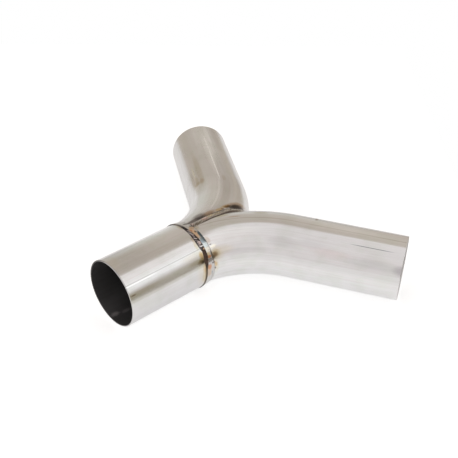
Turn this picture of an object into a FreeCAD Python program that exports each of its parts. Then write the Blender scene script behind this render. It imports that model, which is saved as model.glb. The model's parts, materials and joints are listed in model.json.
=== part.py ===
import FreeCAD, Part
import math
import os

# Exhaust Y-pipe: one inlet sleeve that parts into two bent branches of the same tube.
# Sizes are in millimetres. The origin is the centre of the inlet's mouth.
# +X runs with the gas, +Y points to the left branch and +Z is up.
# The axes of all three tubes lie in the plane z = 0.

# Branch tubes: a straight start inside the sleeve, one bend, one straight leg
tube_od = 63.5
tube_wall = 1.5
bend_radius = 114.3
bend_angle = 60.0
leg_length = 110.0

# Inlet sleeve, slipped over the two branches where they form one round tube
sleeve_length = 88.0
sleeve_wall = 1.5
slip_gap = 0.4
spigot_depth = 12.0

# The branches already bend apart inside the sleeve, so its inner end is a tapered seat:
# how much its radius opens out, how far it starts before the branches' own ends, and
# the least gap that is left at the sleeve's end
seat_opening = 0.4
seat_lead = 1.0
end_gap = 0.5

# Cut ends have their sharp edges taken off
edge_break = 0.3

# Collar weld, wide smooth pass: from the sleeve's end down to the branches
wash_width = 9.4
wash_crown = 0.45

# Collar weld, narrow rippled pass: laid over the sleeve's edge
edge_lap = 2.5
edge_reach = 2.3
edge_crown = 0.75

# Seam weld in the valley where the two branches are mitred together
seam_leg = 3.4
seam_crown = 0.9

# Ripples of both rippled welds: spacing, height of each step and lead of its middle
ripple_pitch = 2.6
ripple_depth = 0.22
ripple_arc = 0.9

# Welds are built from flats: how many span a weld's back, and how far they stay off
# the round tubes so that a flat's middle doesn't cut into them
weld_flats = 4
weld_seat = 0.02

# Half-ripples over which the seam weld rises from nothing at each end
seam_taper_stations = 4

tube_radius = tube_od / 2
bore_radius = tube_radius - tube_wall
sleeve_bore_radius = tube_radius + slip_gap
sleeve_radius = sleeve_bore_radius + sleeve_wall

# The inner side of each bend is the tightest, so it is the first to near the sleeve
inner_bend_radius = bend_radius - tube_radius
side_drift = slip_gap + seat_opening - end_gap
bend_setback = math.sqrt(inner_bend_radius ** 2 - (inner_bend_radius - side_drift) ** 2)
bend_x = sleeve_length - bend_setback
spigot_x = sleeve_length - spigot_depth
seat_x = spigot_x - seat_lead
seat_end_radius = sleeve_bore_radius + seat_opening

turn = math.radians(bend_angle)
leg_x = bend_x + bend_radius * math.sin(turn)
leg_y = bend_radius * (1 - math.cos(turn))
leg_way = FreeCAD.Vector(math.cos(turn), math.sin(turn), 0)
leg_start = FreeCAD.Vector(leg_x, leg_y, 0)
leg_end = leg_start + leg_way * leg_length
reach = leg_end.Length + tube_od

X_AXIS = FreeCAD.Vector(1, 0, 0)
Z_AXIS = FreeCAD.Vector(0, 0, 1)
ORIGIN = FreeCAD.Vector(0, 0, 0)


def left_run(radius):
    """Solid rod of the given radius along the left branch's centre line."""
    spigot = Part.makeCylinder(radius, bend_x - spigot_x, FreeCAD.Vector(spigot_x, 0, 0), X_AXIS)
    bend_start = FreeCAD.Vector(bend_x, 0, 0)
    section = Part.Face(Part.Wire(Part.makeCircle(radius, bend_start, X_AXIS)))
    bend = section.revolve(FreeCAD.Vector(bend_x, bend_radius, 0), Z_AXIS, bend_angle)
    leg = Part.makeCylinder(radius, leg_length, leg_start, leg_way)
    return spigot.fuse([bend, leg]).removeSplitter()


def left_of_middle(shape):
    """The part of a shape on the left of the plane where the two branches are mitred."""
    room = Part.makeBox(2 * reach, reach, 2 * reach, FreeCAD.Vector(-reach, 0, -reach))
    return shape.common(room)


def mirrored(shape):
    """The same shape on the other side of the middle plane."""
    return shape.mirror(ORIGIN, FreeCAD.Vector(0, 1, 0))


def break_edges(shape, centre):
    """Takes the sharp edges off the tube end that is centred on a point."""
    rims = []
    for edge in shape.Edges:
        round_edge = isinstance(edge.Curve, Part.Circle)
        if round_edge and edge.Curve.Center.distanceToPoint(centre) < edge_break:
            rims.append(edge)
    return shape.makeChamfer(edge_break, rims)


def make_branch():
    """Left branch: a bent tube, mitred in the middle plane, with its leg's rim broken."""
    tube = left_run(tube_radius).cut(left_run(bore_radius))
    return break_edges(left_of_middle(tube), leg_end)


def make_sleeve():
    """Inlet sleeve: a tube with broken edges at its mouth and a tapered seat at its inner end."""
    outside = Part.makeCylinder(sleeve_radius, sleeve_length, ORIGIN, X_AXIS)
    bore = Part.makeCylinder(sleeve_bore_radius, seat_x, ORIGIN, X_AXIS)
    seat_start = FreeCAD.Vector(seat_x, 0, 0)
    seat = Part.makeCone(sleeve_bore_radius, seat_end_radius, sleeve_length - seat_x, seat_start, X_AXIS)
    return break_edges(outside.cut([bore, seat]), ORIGIN)


def inside_bends(point):
    """Whether a point lies inside the solid rods that the two bends are bored from."""
    from_pivot = math.hypot(point.x - bend_x, bend_radius - abs(point.y))
    return math.hypot(from_pivot - bend_radius, point.z) < tube_radius


def way_to_skin(start, way):
    """How far a line runs from a start inside the bends until it leaves their joined skin."""
    near, far = 0.0, 2 * tube_radius
    while far - near > 1e-6:
        middle = (near + far) / 2
        if inside_bends(start + way * middle):
            near = middle
        else:
            far = middle
    return near


def around(x, radius, angle):
    """Point at a distance from the X axis, at an angle from +Y."""
    return FreeCAD.Vector(x, radius * math.cos(angle), radius * math.sin(angle))


def seat_radius(x, angle):
    """How far from the X axis a weld's underside lies on the branches."""
    return way_to_skin(FreeCAD.Vector(x, 0, 0), around(0, 1, angle)) + weld_seat


def arch_points(start, end, crown):
    """Shallow arch from start to end as (along, up, share of the full crown)."""
    run, rise = end[0] - start[0], end[1] - start[1]
    length = math.hypot(run, rise)
    points = []
    for step in range(weld_flats + 1):
        share = step / weld_flats
        arch = 4 * share * (1 - share)
        along = start[0] + run * share - rise / length * crown * arch
        up = start[1] + rise * share + run / length * crown * arch
        points.append((along, up, arch))
    return points


def weld_body(stations, closed):
    """Solid through a row of weld sections, with flat facets between neighbours."""
    wires = [Part.makePolygon(points + points[:1]) for points in stations]
    return Part.makeLoft(wires, True, True, closed)


def ripples_in(length):
    """Whole number of ripples that fits a length of weld."""
    return max(1, round(length / ripple_pitch))


def rippled(crown, step):
    """Crown at a station: each ripple starts full and tapers under the next one."""
    return crown if step % 2 == 0 else crown - ripple_depth


collar_ripples = ripples_in(2 * math.pi * sleeve_radius)
collar_stations = 2 * collar_ripples
toe_x = sleeve_length + wash_width


def collar_angle(step):
    return 2 * math.pi * step / collar_stations


def wash_arch(angle):
    """Back of the smooth pass at a place round the collar, from the sleeve's edge to its toe."""
    toe = (toe_x, seat_radius(toe_x, angle))
    return arch_points((sleeve_length, sleeve_radius), toe, wash_crown)


def make_wash_weld():
    """Smooth pass of the collar weld: it backs on the sleeve's end and lies on the branches."""
    stations = []
    for step in range(collar_stations):
        angle = collar_angle(step)
        points = [around(x, up, angle) for x, up, _ in wash_arch(angle)]
        for share in (0.5, 0.0):
            x = sleeve_length + wash_width * share
            points.append(around(x, seat_radius(x, angle), angle))
        stations.append(points)
    return weld_body(stations, True)


def make_edge_weld():
    """Rippled pass of the collar weld: it laps the sleeve's edge and ends on the smooth pass."""
    lead = ripple_arc / sleeve_radius
    stations = []
    for step in range(collar_stations):
        angle = collar_angle(step)
        edge, ridge = wash_arch(angle)[:2]
        share = edge_reach / (ridge[0] - edge[0])
        landing = edge[1] + (ridge[1] - edge[1]) * share + weld_seat
        start = (sleeve_length - edge_lap, sleeve_radius + weld_seat)
        end = (sleeve_length + edge_reach, landing)
        arch = arch_points(start, end, rippled(edge_crown, step))
        points = [around(x, up, angle + lead * part) for x, up, part in arch]
        points.append(around(sleeve_length, sleeve_radius + weld_seat, angle))
        stations.append(points)
    return weld_body(stations, True)


def seam_place(round_angle):
    """Where the mitre line cuts the branches' skin, at an angle round the tube from the crotch.

    Returns the point, the way out of the valley in the middle plane, and the sine of the
    angle by which each branch's skin climbs away from the bottom of the valley.
    """
    offset = tube_radius * math.cos(round_angle)
    height = tube_radius * math.sin(round_angle)
    from_pivot = bend_radius + offset
    along = math.sqrt(from_pivot ** 2 - bend_radius ** 2)
    out = FreeCAD.Vector(offset * along / from_pivot, 0, height)
    out.normalize()
    climb = offset * bend_radius / (from_pivot * tube_radius)
    return FreeCAD.Vector(bend_x + along, 0, height), out, climb


def seam_angles():
    """Evenly spaced stations on the mitre line, from the collar's toe over the crotch and back."""
    toe_offset = math.hypot(toe_x - bend_x, bend_radius) - bend_radius
    first = math.acos(toe_offset / tube_radius)
    fine = 720
    angles = [first - 2 * first * step / fine for step in range(fine + 1)]
    places = [seam_place(angle)[0] for angle in angles]
    lengths = [0.0]
    for before, after in zip(places, places[1:]):
        lengths.append(lengths[-1] + before.distanceToPoint(after))
    count = 2 * ripples_in(lengths[-1])
    chosen = []
    index = 0
    for step in range(count + 1):
        while lengths[index] < lengths[-1] * step / count - 1e-9:
            index += 1
        chosen.append(angles[index])
    return chosen


def make_seam_weld():
    """Rippled bead in the valley between the branches, from the collar round to the collar."""
    angles = seam_angles()
    last = len(angles) - 1
    stations = []
    for step, angle in enumerate(angles):
        place, out, climb = seam_place(angle)
        toe_side = seam_leg * math.sqrt(1 - climb ** 2)
        feet = []
        for across in (toe_side, toe_side / 2, 0.0, -toe_side / 2, -toe_side):
            below = place - out * seam_leg + FreeCAD.Vector(0, across, 0)
            feet.append(way_to_skin(below, out) - seam_leg + weld_seat)
        rise = min(1.0, (min(step, last - step) + 1) / seam_taper_stations)
        crown = rippled(seam_crown, step) * rise
        lead = ripple_arc if 0 < step < last else 0.0
        onward = FreeCAD.Vector(out.z, 0, -out.x)
        points = []
        for across, height, part in arch_points((-toe_side, feet[-1]), (toe_side, feet[0]), crown):
            beside = FreeCAD.Vector(0, across, 0)
            points.append(place + out * height + onward * (lead * part) + beside)
        for across, height in ((toe_side / 2, feet[1]), (0.0, feet[2]), (-toe_side / 2, feet[3])):
            points.append(place + out * height + FreeCAD.Vector(0, across, 0))
        stations.append(points)
    return weld_body(stations, False)


def main():
    left_branch = make_branch()
    parts = {
        "inlet_sleeve": make_sleeve(),
        "left_branch": left_branch,
        "right_branch": mirrored(left_branch),
        "collar_wash_weld": make_wash_weld(),
        "collar_edge_weld": make_edge_weld(),
        "branch_seam_weld": make_seam_weld(),
    }
    os.makedirs("parts", exist_ok=True)
    for name, shape in parts.items():
        shape.exportStep("parts/" + name + ".step")
        box = shape.BoundBox
        print(name, "solids", len(shape.Solids), "valid", shape.isValid(),
              "volume", round(shape.Volume, 1), "faces", len(shape.Faces),
              "x", round(box.XMin, 2), round(box.XMax, 2),
              "y", round(box.YMin, 2), round(box.YMax, 2),
              "z", round(box.ZMin, 2), round(box.ZMax, 2))


main()
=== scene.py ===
import json
import math

import bpy
import numpy as np
from mathutils import Matrix, Vector


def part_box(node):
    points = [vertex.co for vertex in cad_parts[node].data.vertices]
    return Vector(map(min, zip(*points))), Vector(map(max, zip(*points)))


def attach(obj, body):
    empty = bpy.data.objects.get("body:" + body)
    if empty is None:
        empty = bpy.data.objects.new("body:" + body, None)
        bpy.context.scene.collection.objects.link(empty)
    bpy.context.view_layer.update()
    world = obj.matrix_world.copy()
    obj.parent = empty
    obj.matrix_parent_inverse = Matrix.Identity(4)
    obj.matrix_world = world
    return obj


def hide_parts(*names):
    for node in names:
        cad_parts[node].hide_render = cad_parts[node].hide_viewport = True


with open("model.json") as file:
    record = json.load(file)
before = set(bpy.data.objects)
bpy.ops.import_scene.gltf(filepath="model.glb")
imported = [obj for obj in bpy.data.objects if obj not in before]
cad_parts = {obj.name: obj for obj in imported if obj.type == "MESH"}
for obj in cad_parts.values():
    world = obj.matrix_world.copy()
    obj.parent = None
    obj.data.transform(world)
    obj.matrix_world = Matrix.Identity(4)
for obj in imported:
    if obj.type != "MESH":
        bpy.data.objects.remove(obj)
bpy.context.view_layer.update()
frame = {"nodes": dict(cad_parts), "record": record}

# %% [markdown]
# An exhaust Y-pipe is made of three stock tubes and a few runs of weld. The tubes could be
# modelled again here, but the CAD model already has them at their real size, so this script
# never reshapes them. It gives them the finish of bright rolled steel, lays the weld beads with
# their ripples over the plain CAD welds, and sets up a pale studio. Every length below is in
# metres, in the frame of the CAD model: x runs with the gas, y points to the left branch, z is
# up, and the origin is the centre of the mouth. Sizes are read from the model where it has them.

# %% Sizes of the tubes
MM = 0.001
mounts = {mount["name"]: mount for mount in frame["record"]["mounts"]}
outlet = mounts["left_outlet"]
TUBE_RADIUS = outlet["dims"]["r_mm"] * MM
LEG_END = np.array(outlet["pos_m"])
LEG_WAY = np.array(outlet["axis"])
LEG_LENGTH = 110 * MM
LEG_START = LEG_END - LEG_WAY * LEG_LENGTH
BEND_RADIUS = 114.3 * MM
BEND_TURN = math.atan2(LEG_WAY[1], LEG_WAY[0])
BEND_START = LEG_START[0] - BEND_RADIUS * math.sin(BEND_TURN)
BRANCH_LENGTH = BEND_RADIUS * BEND_TURN + LEG_LENGTH
print("a branch is", round(BRANCH_LENGTH / MM, 1), "mm long from x =", round(BEND_START / MM, 1),
      "mm and turns", round(math.degrees(BEND_TURN), 1), "degrees")

# %% [markdown]
# The camera comes first, so that every later step can be judged in the photograph's own view.
# It looks down at the pipe from the side of the mouth. It could be turned by hand until the
# outlines agree, but here a place, a point to look at and a small roll were worked out from the
# outlines of the tubes. The lens follows from the picture's width. The picture's centre lies a
# pixel below the lens's own axis, which the camera's shift takes up.

# %% Camera
PICTURE_WIDTH = 458
FOCAL_PIXELS = 786.9
AXIS_ABOVE_CENTRE = 1.0
SENSOR_WIDTH = 36.0
CAMERA_PLACE = Vector((-0.29864, -0.48015, 0.46632))
CAMERA_AIM = Vector((0.15262, 0.00768, 0.0))
CAMERA_ROLL = math.radians(1.219)


def camera_turn(place, aim, roll):
    """Matrix of a camera that looks from place to aim: level first, then rolled about its axis.

    The level way to the right is the cross product of the way ahead and the vertical.
    """
    ahead = (aim - place).normalized()
    level = ahead.cross(Vector((0, 0, 1))).normalized()
    upright = level.cross(ahead)
    right = level * math.cos(roll) + upright * math.sin(roll)
    up = upright * math.cos(roll) - level * math.sin(roll)
    turn = Matrix((right, up, -ahead)).transposed().to_4x4()
    return Matrix.Translation(place) @ turn


camera_data = bpy.data.cameras.new("camera")
camera = bpy.data.objects.new("camera", camera_data)
bpy.context.scene.collection.objects.link(camera)
bpy.context.scene.camera = camera
camera.matrix_world = camera_turn(CAMERA_PLACE, CAMERA_AIM, CAMERA_ROLL)
camera_data.sensor_width = SENSOR_WIDTH
camera_data.lens = FOCAL_PIXELS / PICTURE_WIDTH * SENSOR_WIDTH
camera_data.shift_y = -AXIS_ABOVE_CENTRE / PICTURE_WIDTH
bpy.context.scene.view_settings.view_transform = "Standard"
print("lens:", round(camera_data.lens, 2), "mm, distance:",
      round((CAMERA_AIM - CAMERA_PLACE).length, 3), "m")

# %% [markdown]
# A material is a net of nodes. It can be drawn by hand in the shader editor, but a long net is
# hard to read there, so here it is written as sums. A small class holds one socket of a shader,
# and Python's own operators on it add Math nodes: a mask then reads like a formula. Two soft
# steps are used all through. A rise goes from 0 to 1, and a band is a window with soft edges.


# %% A socket that does arithmetic
class Signal:
    """One socket of a shader. Arithmetic on it adds Math nodes."""

    def __init__(self, recipe, socket):
        self.recipe = recipe
        self.socket = socket

    def __add__(self, other):
        return self.recipe.math("ADD", self, other)

    def __sub__(self, other):
        return self.recipe.math("SUBTRACT", self, other)

    def __rsub__(self, other):
        return self.recipe.math("SUBTRACT", other, self)

    def __mul__(self, other):
        return self.recipe.math("MULTIPLY", self, other)

    def __truediv__(self, other):
        return self.recipe.math("DIVIDE", self, other)

    def __rtruediv__(self, other):
        return self.recipe.math("DIVIDE", other, self)

    def __abs__(self):
        return self.recipe.math("ABSOLUTE", self)

    __radd__ = __add__
    __rmul__ = __mul__

    def root(self):
        return self.recipe.math("SQRT", self)

    def sine(self):
        return self.recipe.math("SINE", self)

    def less(self, other):
        return self.recipe.math("LESS_THAN", self, other)

    def smaller(self, other):
        return self.recipe.math("MINIMUM", self, other)

    def larger(self, other):
        return self.recipe.math("MAXIMUM", self, other)

    def full_turn(self):
        """An angle from -180 to 180 degrees as one from 0 to 360."""
        return self + self.less(0.0) * 360.0

    def rise(self, low, high):
        """Soft step: 0 below low and 1 above high, the other way round where low is above high."""
        ends = (low, high, 0.0, 1.0) if low < high else (high, low, 1.0, 0.0)
        settings = {"interpolation_type": "SMOOTHSTEP"}
        return self.recipe.node("ShaderNodeMapRange", settings, (self, *ends))

    def band(self, low, high, soft):
        """Soft window: 1 between low and high, and 0 further than soft outside them."""
        return self.rise(low - soft, low + soft) * self.rise(high + soft, high - soft)


print("a signal also knows:", ", ".join(name for name in vars(Signal) if name[0] != "_"))

# %% [markdown]
# Everything that isn't plain arithmetic goes through one method, `node`, which makes a node,
# sets its settings and then fills in its sockets. Colours could be worked out as three numbers
# each, but Mix nodes do that at once, while a Math node would turn a colour grey. So `mix` goes
# from one colour to another, and `tint` multiplies a colour by that of a thin film over it.


# %% A recipe of shader nodes
# Where a Mix node has its sockets for colours.
MIX_SHARE, MIX_FIRST, MIX_SECOND, MIX_RESULT = 0, 6, 7, 2


class Recipe:
    """The shader nodes of one material, or of the world."""

    def __init__(self, owner):
        owner.use_nodes = True
        self.tree = owner.node_tree
        self.tree.nodes.clear()

    def node(self, kind, settings=None, values=(), output=0):
        """Adds a node: first settings, then sockets by place or name. Returns an output, if any."""
        made = self.tree.nodes.new(kind)
        for name, value in (settings or {}).items():
            setattr(made, name, value)
        pairs = values.items() if isinstance(values, dict) else enumerate(values)
        for place, value in pairs:
            if isinstance(value, Signal):
                self.tree.links.new(value.socket, made.inputs[place])
            else:
                made.inputs[place].default_value = value
        return Signal(self, made.outputs[output]) if made.outputs else None

    def math(self, operation, *values):
        return self.node("ShaderNodeMath", {"operation": operation}, values)

    def angle(self, up, across):
        """Angle in degrees of a direction with these two parts."""
        return self.math("ARCTAN2", up, across) * math.degrees(1)

    def point(self):
        """The shaded point in the frame of the model, as a vector."""
        return self.node("ShaderNodeTexCoord", output="Object")

    def apart(self, vector):
        """The three numbers of a vector."""
        return [self.node("ShaderNodeSeparateXYZ", None, (vector,), axis) for axis in "XYZ"]

    def together(self, x, y, z):
        return self.node("ShaderNodeCombineXYZ", None, (x, y, z))

    def colour(self, value):
        """A colour as a socket takes it, from three numbers or a signal."""
        return value if isinstance(value, Signal) else (*value, 1.0)

    def mix(self, share, first, second, blend="MIX"):
        """Goes from the first colour to the second as share goes from 0 to 1."""
        settings = {"data_type": "RGBA", "blend_type": blend}
        values = {MIX_SHARE: share, MIX_FIRST: self.colour(first), MIX_SECOND: self.colour(second)}
        return self.node("ShaderNodeMix", settings, values, MIX_RESULT)

    def tint(self, share, base, film):
        """Multiplies a base colour by a film's colour, where share is the film's strength."""
        return self.mix(share, base, film, "MULTIPLY")

    def noise(self, vector, scale, detail=3.0, roughness=0.5):
        """Cloudy noise around 0.5, with scale clouds to a metre."""
        values = {"Vector": vector, "Scale": scale, "Detail": detail, "Roughness": roughness}
        return self.node("ShaderNodeTexNoise", None, values)

    def fray(self, scale):
        """Fine noise around 0, which frays the edges of marks."""
        return self.noise(self.point(), scale, detail=4.0, roughness=0.6) - 0.5


print("a recipe makes:", ", ".join(name for name in vars(Recipe) if name[0] != "_"))

# %% [markdown]
# Polished tube shows its surroundings more than itself: the beige, white and olive bands along
# the tubes of the photograph are its studio. Lamps and panels could stand all round, but a band
# is easier to place as the world's colour by direction, which the steel then mirrors. A
# direction has an azimuth, from +x towards +y, and an elevation, both in degrees. The room is
# pale. A beige wall stands on the far side, paler near its foot and darker in its corners. A
# white softbox hangs over the camera's right, in a glow of its own and above a dark strip.

# %% Colours and places in the studio
WHITE = (1.0, 1.0, 1.0)
ROOM = (0.850, 0.812, 0.803)
WALL = (0.560, 0.502, 0.440)
WALL_FOOT = (0.67, 0.65, 0.60)
WALL_CORNER = (0.52, 0.46, 0.39)
SOFTBOX = (0.97, 0.935, 0.915)
SOFTBOX_FOOT = (1.08, 1.08, 1.07)
SOFTBOX_GLOW = (0.93, 0.895, 0.87)
STRIP = (0.44, 0.405, 0.335)
# Azimuth and elevation of each: three numbers are a band and its softness, two are a rise.
GLOW_PLACE = (-110, 0, 25), (22, 58)
SOFTBOX_PLACE = (-74, -17, 2), (22, 70, 4)
SOFTBOX_FOOT_RISE = (54, 34)
STRIP_PLACE = (-80, -45, 6), (23, 9)
WALL_PLACE = (-17, 118, 1.2), (68.0, 66.4)
WALL_FOOT_PLACE = (37, 80, 6), (30, 4)
FAR_CORNER_PLACE = (70, 86), (2, 14)
NEAR_CORNER_PLACE = (35, 27), (24, 14)
print("the softbox is", SOFTBOX_PLACE[0][1] - SOFTBOX_PLACE[0][0], "degrees wide, and the wall",
      WALL_PLACE[0][1] - WALL_PLACE[0][0])

# %% [markdown]
# Each thing in the studio is a mask over directions, and its colour is mixed over what lies
# behind it, from the room forwards. A picture of a room could be wrapped round the scene, but
# masks have no pixels to blur and are easy to move. In a world, the Generated coordinates are
# the direction. Rays from the camera get plain white instead, the photograph's background.

# %% Studio surroundings
world = bpy.data.worlds.new("studio")
bpy.context.scene.world = world
studio = Recipe(world)
way = studio.node("ShaderNodeTexCoord", output="Generated")
unit_way = studio.node("ShaderNodeVectorMath", {"operation": "NORMALIZE"}, (way,))
way_x, way_y, way_z = studio.apart(unit_way)
azimuth = studio.angle(way_y, way_x)
elevation = studio.math("ARCSINE", way_z) * math.degrees(1)


def in_studio(place):
    """Mask of a thing in the studio: its window of azimuth times its window of elevation."""
    windows = [part.band(*ends) if len(ends) == 3 else part.rise(*ends)
               for part, ends in zip((azimuth, elevation), place)]
    return windows[0] * windows[1]


surroundings = studio.mix(in_studio(GLOW_PLACE), ROOM, SOFTBOX_GLOW)
softbox_colour = studio.mix(elevation.rise(*SOFTBOX_FOOT_RISE), SOFTBOX, SOFTBOX_FOOT)
surroundings = studio.mix(in_studio(SOFTBOX_PLACE), surroundings, softbox_colour)
surroundings = studio.mix(in_studio(STRIP_PLACE), surroundings, STRIP)
corner = in_studio(FAR_CORNER_PLACE).larger(in_studio(NEAR_CORNER_PLACE))
wall_colour = studio.mix(corner, WALL, WALL_CORNER)
wall_colour = studio.mix(in_studio(WALL_FOOT_PLACE), wall_colour, WALL_FOOT)
surroundings = studio.mix(in_studio(WALL_PLACE), surroundings, wall_colour)
camera_sees = studio.node("ShaderNodeLightPath", output="Is Camera Ray")
shown = studio.mix(camera_sees, surroundings, WHITE)
background = studio.node("ShaderNodeBackground", None, (shown, 1.0))
studio.node("ShaderNodeOutputWorld", None, (background,))
print("the studio takes", len(studio.tree.nodes), "nodes")

# %% [markdown]
# The pipe lies as it would come to rest: on the lowest point of its collar weld and on the ends
# of both legs. The paper under it could be level if the pipe were turned, but the pipe has to
# stay in its frame. So the paper is a plane through those three points, tilted by about a degree.
# Its far and right edges are near enough for the steel to mirror them, as in the photograph.

# %% Sheet of paper
PAPER_BEHIND = 0.66
PAPER_RIGHT = 0.38
PAPER_FRONT = 3.0
EDGE_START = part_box("collar_edge_weld")[0].x
EDGE_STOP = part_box("collar_edge_weld")[1].x
collar_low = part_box("collar_edge_weld")[0].z
collar_low_x = (EDGE_START + EDGE_STOP) / 2
floor_slope = (-TUBE_RADIUS - collar_low) / (LEG_END[0] - collar_low_x)
ahead_way = Vector((CAMERA_AIM - CAMERA_PLACE).xy).normalized()
right_way = Vector((ahead_way.y, -ahead_way.x))


def paper_corner(ahead, right):
    """Corner of the sheet, at distances ahead and to the right of the origin as the camera sees.

    Its height is the collar's lowest point plus the slope times the distance in x from there.
    """
    place = ahead_way * ahead + right_way * right
    return place.x, place.y, collar_low + (place.x - collar_low_x) * floor_slope


corners = [paper_corner(-PAPER_FRONT, -PAPER_FRONT), paper_corner(-PAPER_FRONT, PAPER_RIGHT),
           paper_corner(PAPER_BEHIND, PAPER_RIGHT), paper_corner(PAPER_BEHIND, -PAPER_FRONT)]
paper_mesh = bpy.data.meshes.new("paper")
paper_mesh.from_pydata(corners, [], [(0, 1, 2, 3)])
paper = bpy.data.objects.new("paper", paper_mesh)
bpy.context.scene.collection.objects.link(paper)
print("the pipe lies tilted by", round(math.degrees(math.atan(floor_slope)), 2), "degrees")

# %% [markdown]
# White paper under a photograph is matt and keeps a soft shadow, but it is lit so well that it
# reads as pure white. More light would also burn out the steel, so the sheet is a matt surface of
# middling grey that glows as well, for the camera and in mirrors only. Light Path tells these rays
# apart. The glow that the steel mirrors carries painted light and shade: it is brightest near the
# pipe, a little darker in front of it and darker still far behind it.

# %% White of the paper
PAPER_ALBEDO = 0.60
PAPER_GLOW = 0.67
PAPER_GLOW_IN_STEEL = 0.44
# Painted shade and light on the glow in the steel: where it rises by distance ahead in metres, and
# by how much.
PAPER_PAINTED_SHADE = [((0.30, 0.0), 0.09), ((0.18, 0.60), -0.13), ((0.0, -0.16), -0.07)]

paper_material = bpy.data.materials.new("paper")
paper_mesh.materials.append(paper_material)
sheet = Recipe(paper_material)
camera_ray, glossy_ray, transmission_ray = [
    sheet.node("ShaderNodeLightPath", output=ray)
    for ray in ("Is Camera Ray", "Is Glossy Ray", "Is Transmission Ray")]
paper_x, paper_y, _ = sheet.apart(sheet.point())
ahead_part = paper_x * ahead_way.x + paper_y * ahead_way.y
# The glow in the steel, with painted shade and light by distance ahead.
glow_in_steel_shaded = PAPER_GLOW_IN_STEEL
for ends, change in PAPER_PAINTED_SHADE:
    glow_in_steel_shaded = ahead_part.rise(*ends) * change + glow_in_steel_shaded
strength = camera_ray * PAPER_GLOW + glossy_ray.larger(transmission_ray) * glow_in_steel_shaded
matt_paper = sheet.node("ShaderNodeBsdfDiffuse", None, (sheet.colour((PAPER_ALBEDO,) * 3),))
shine = sheet.node("ShaderNodeEmission", None, (sheet.colour(WHITE), strength))
both = sheet.node("ShaderNodeAddShader", None, (matt_paper, shine))
sheet.node("ShaderNodeOutputMaterial", None, (both,))
print("the paper takes", len(sheet.tree.nodes), "nodes")

# %% [markdown]
# Marks on a tube have to follow the tube, round the bend as well as along the leg. A UV map
# could carry them, but the CAD tubes come without one. So the next helper works out, from a
# point's Object coordinates, how far along the tube it lies, at which angle round it, and how
# far from its centre line. The angle starts on the side towards which the tube bends and goes
# over the top. Both branches use the same formula on the size of y, as they mirror each other.


# %% Where a point lies on its tube
def on_sleeve(recipe):
    """Along, around in degrees and distance from the axis, on the straight sleeve."""
    x, y, z = recipe.apart(recipe.point())
    return x, recipe.angle(z, y).full_turn(), (y * y + z * z).root()


def on_branch(recipe):
    """Along, around in degrees and distance from the centre line, on a bent branch.

    In the bend the sideways offset is the bend radius less the distance from the bend's pivot.
    On the leg it is the distance from the leg's line.
    """
    x, y, z = recipe.apart(recipe.point())
    ahead = x - BEND_START
    inward = BEND_RADIUS - abs(y)
    bend_angle = recipe.math("ARCTAN2", ahead, inward)
    bend_offset = BEND_RADIUS - (ahead * ahead + inward * inward).root()
    leg_x = x - LEG_START[0]
    leg_y = abs(y) - LEG_START[1]
    leg_along = leg_x * LEG_WAY[0] + leg_y * LEG_WAY[1]
    leg_offset = leg_y * LEG_WAY[0] - leg_x * LEG_WAY[1]
    on_leg = recipe.math("GREATER_THAN", leg_along, 0.0)
    offset = bend_offset + (leg_offset - bend_offset) * on_leg
    turned = bend_angle.larger(0.0).smaller(BEND_TURN) * BEND_RADIUS
    along = turned + leg_along.larger(0.0)
    return along, recipe.angle(z, offset), (offset * offset + z * z).root()


print("a leg starts", round(BEND_RADIUS * BEND_TURN / MM, 1), "mm along its branch")

# %% [markdown]
# The steel itself is a metal with a neutral colour and a fairly low roughness. Drawing and
# polishing leave faint streaks along a tube, and handling leaves soft clouds. A painted picture
# could show them, but noises fit a tube of any length and need no unwrapping. There are four of
# them: clouds, a fainter haze, and broad and fine streaks, which are a noise that reads the
# length and a circle round the tube, so that it closes on itself.

# %% Bare steel
STEEL = (0.797, 0.802, 0.802)
CLOUDY = (0.925, 0.915, 0.915)
BREATHED = (0.965, 0.985, 0.955)
ROSY = (0.975, 0.915, 0.925)
CLOUDS_PER_METRE = 38.0
HAZE_PER_METRE = 75.0
# Streaks: how often they change along a metre and round the tube, and their detail.
BROAD_STREAKS = (9.0, 16.0, 4.0)
FINE_STREAKS = (14.0, 55.0, 3.0)
# A noise becomes a mask by a soft step over its middle values.
CLOUD_STEP, HAZE_STEP = (0.42, 0.72), (0.45, 0.65)
BROAD_STEP, FINE_STEP = (0.35, 0.70), (0.42, 0.72)
CLOUD_SHARE, BROAD_SHARE, HAZE_SHARE, FINE_SHARE = 0.55, 0.45, 0.8, 0.7


def streaks(recipe, place, along_scale, round_scale, detail):
    """Noise of the length and of the sine and cosine of the angle, each times its own scale."""
    along, around, _ = place
    turn = around * math.radians(1)
    circle = [recipe.math(part, turn) * round_scale for part in ("SINE", "COSINE")]
    return recipe.noise(recipe.together(along * along_scale, *circle), 1.0, detail, 0.6)


def bare_steel(recipe, place):
    """Colour of the steel under its marks, and the shares of its clouds and broad streaks."""
    cloud = recipe.noise(recipe.point(), CLOUDS_PER_METRE, detail=3.0).rise(*CLOUD_STEP)
    haze = recipe.noise(recipe.point(), HAZE_PER_METRE, detail=2.0).rise(*HAZE_STEP)
    broad = streaks(recipe, place, *BROAD_STREAKS).rise(*BROAD_STEP)
    fine = streaks(recipe, place, *FINE_STREAKS).rise(*FINE_STEP)
    colour = recipe.tint(cloud * CLOUD_SHARE + broad * BROAD_SHARE, STEEL, CLOUDY)
    colour = recipe.tint(haze * HAZE_SHARE, colour, BREATHED)
    return recipe.tint(fine * FINE_SHARE, colour, ROSY), cloud, broad


print("a cloud on the steel is about", round(1 / CLOUDS_PER_METRE / MM), "mm wide")

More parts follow.
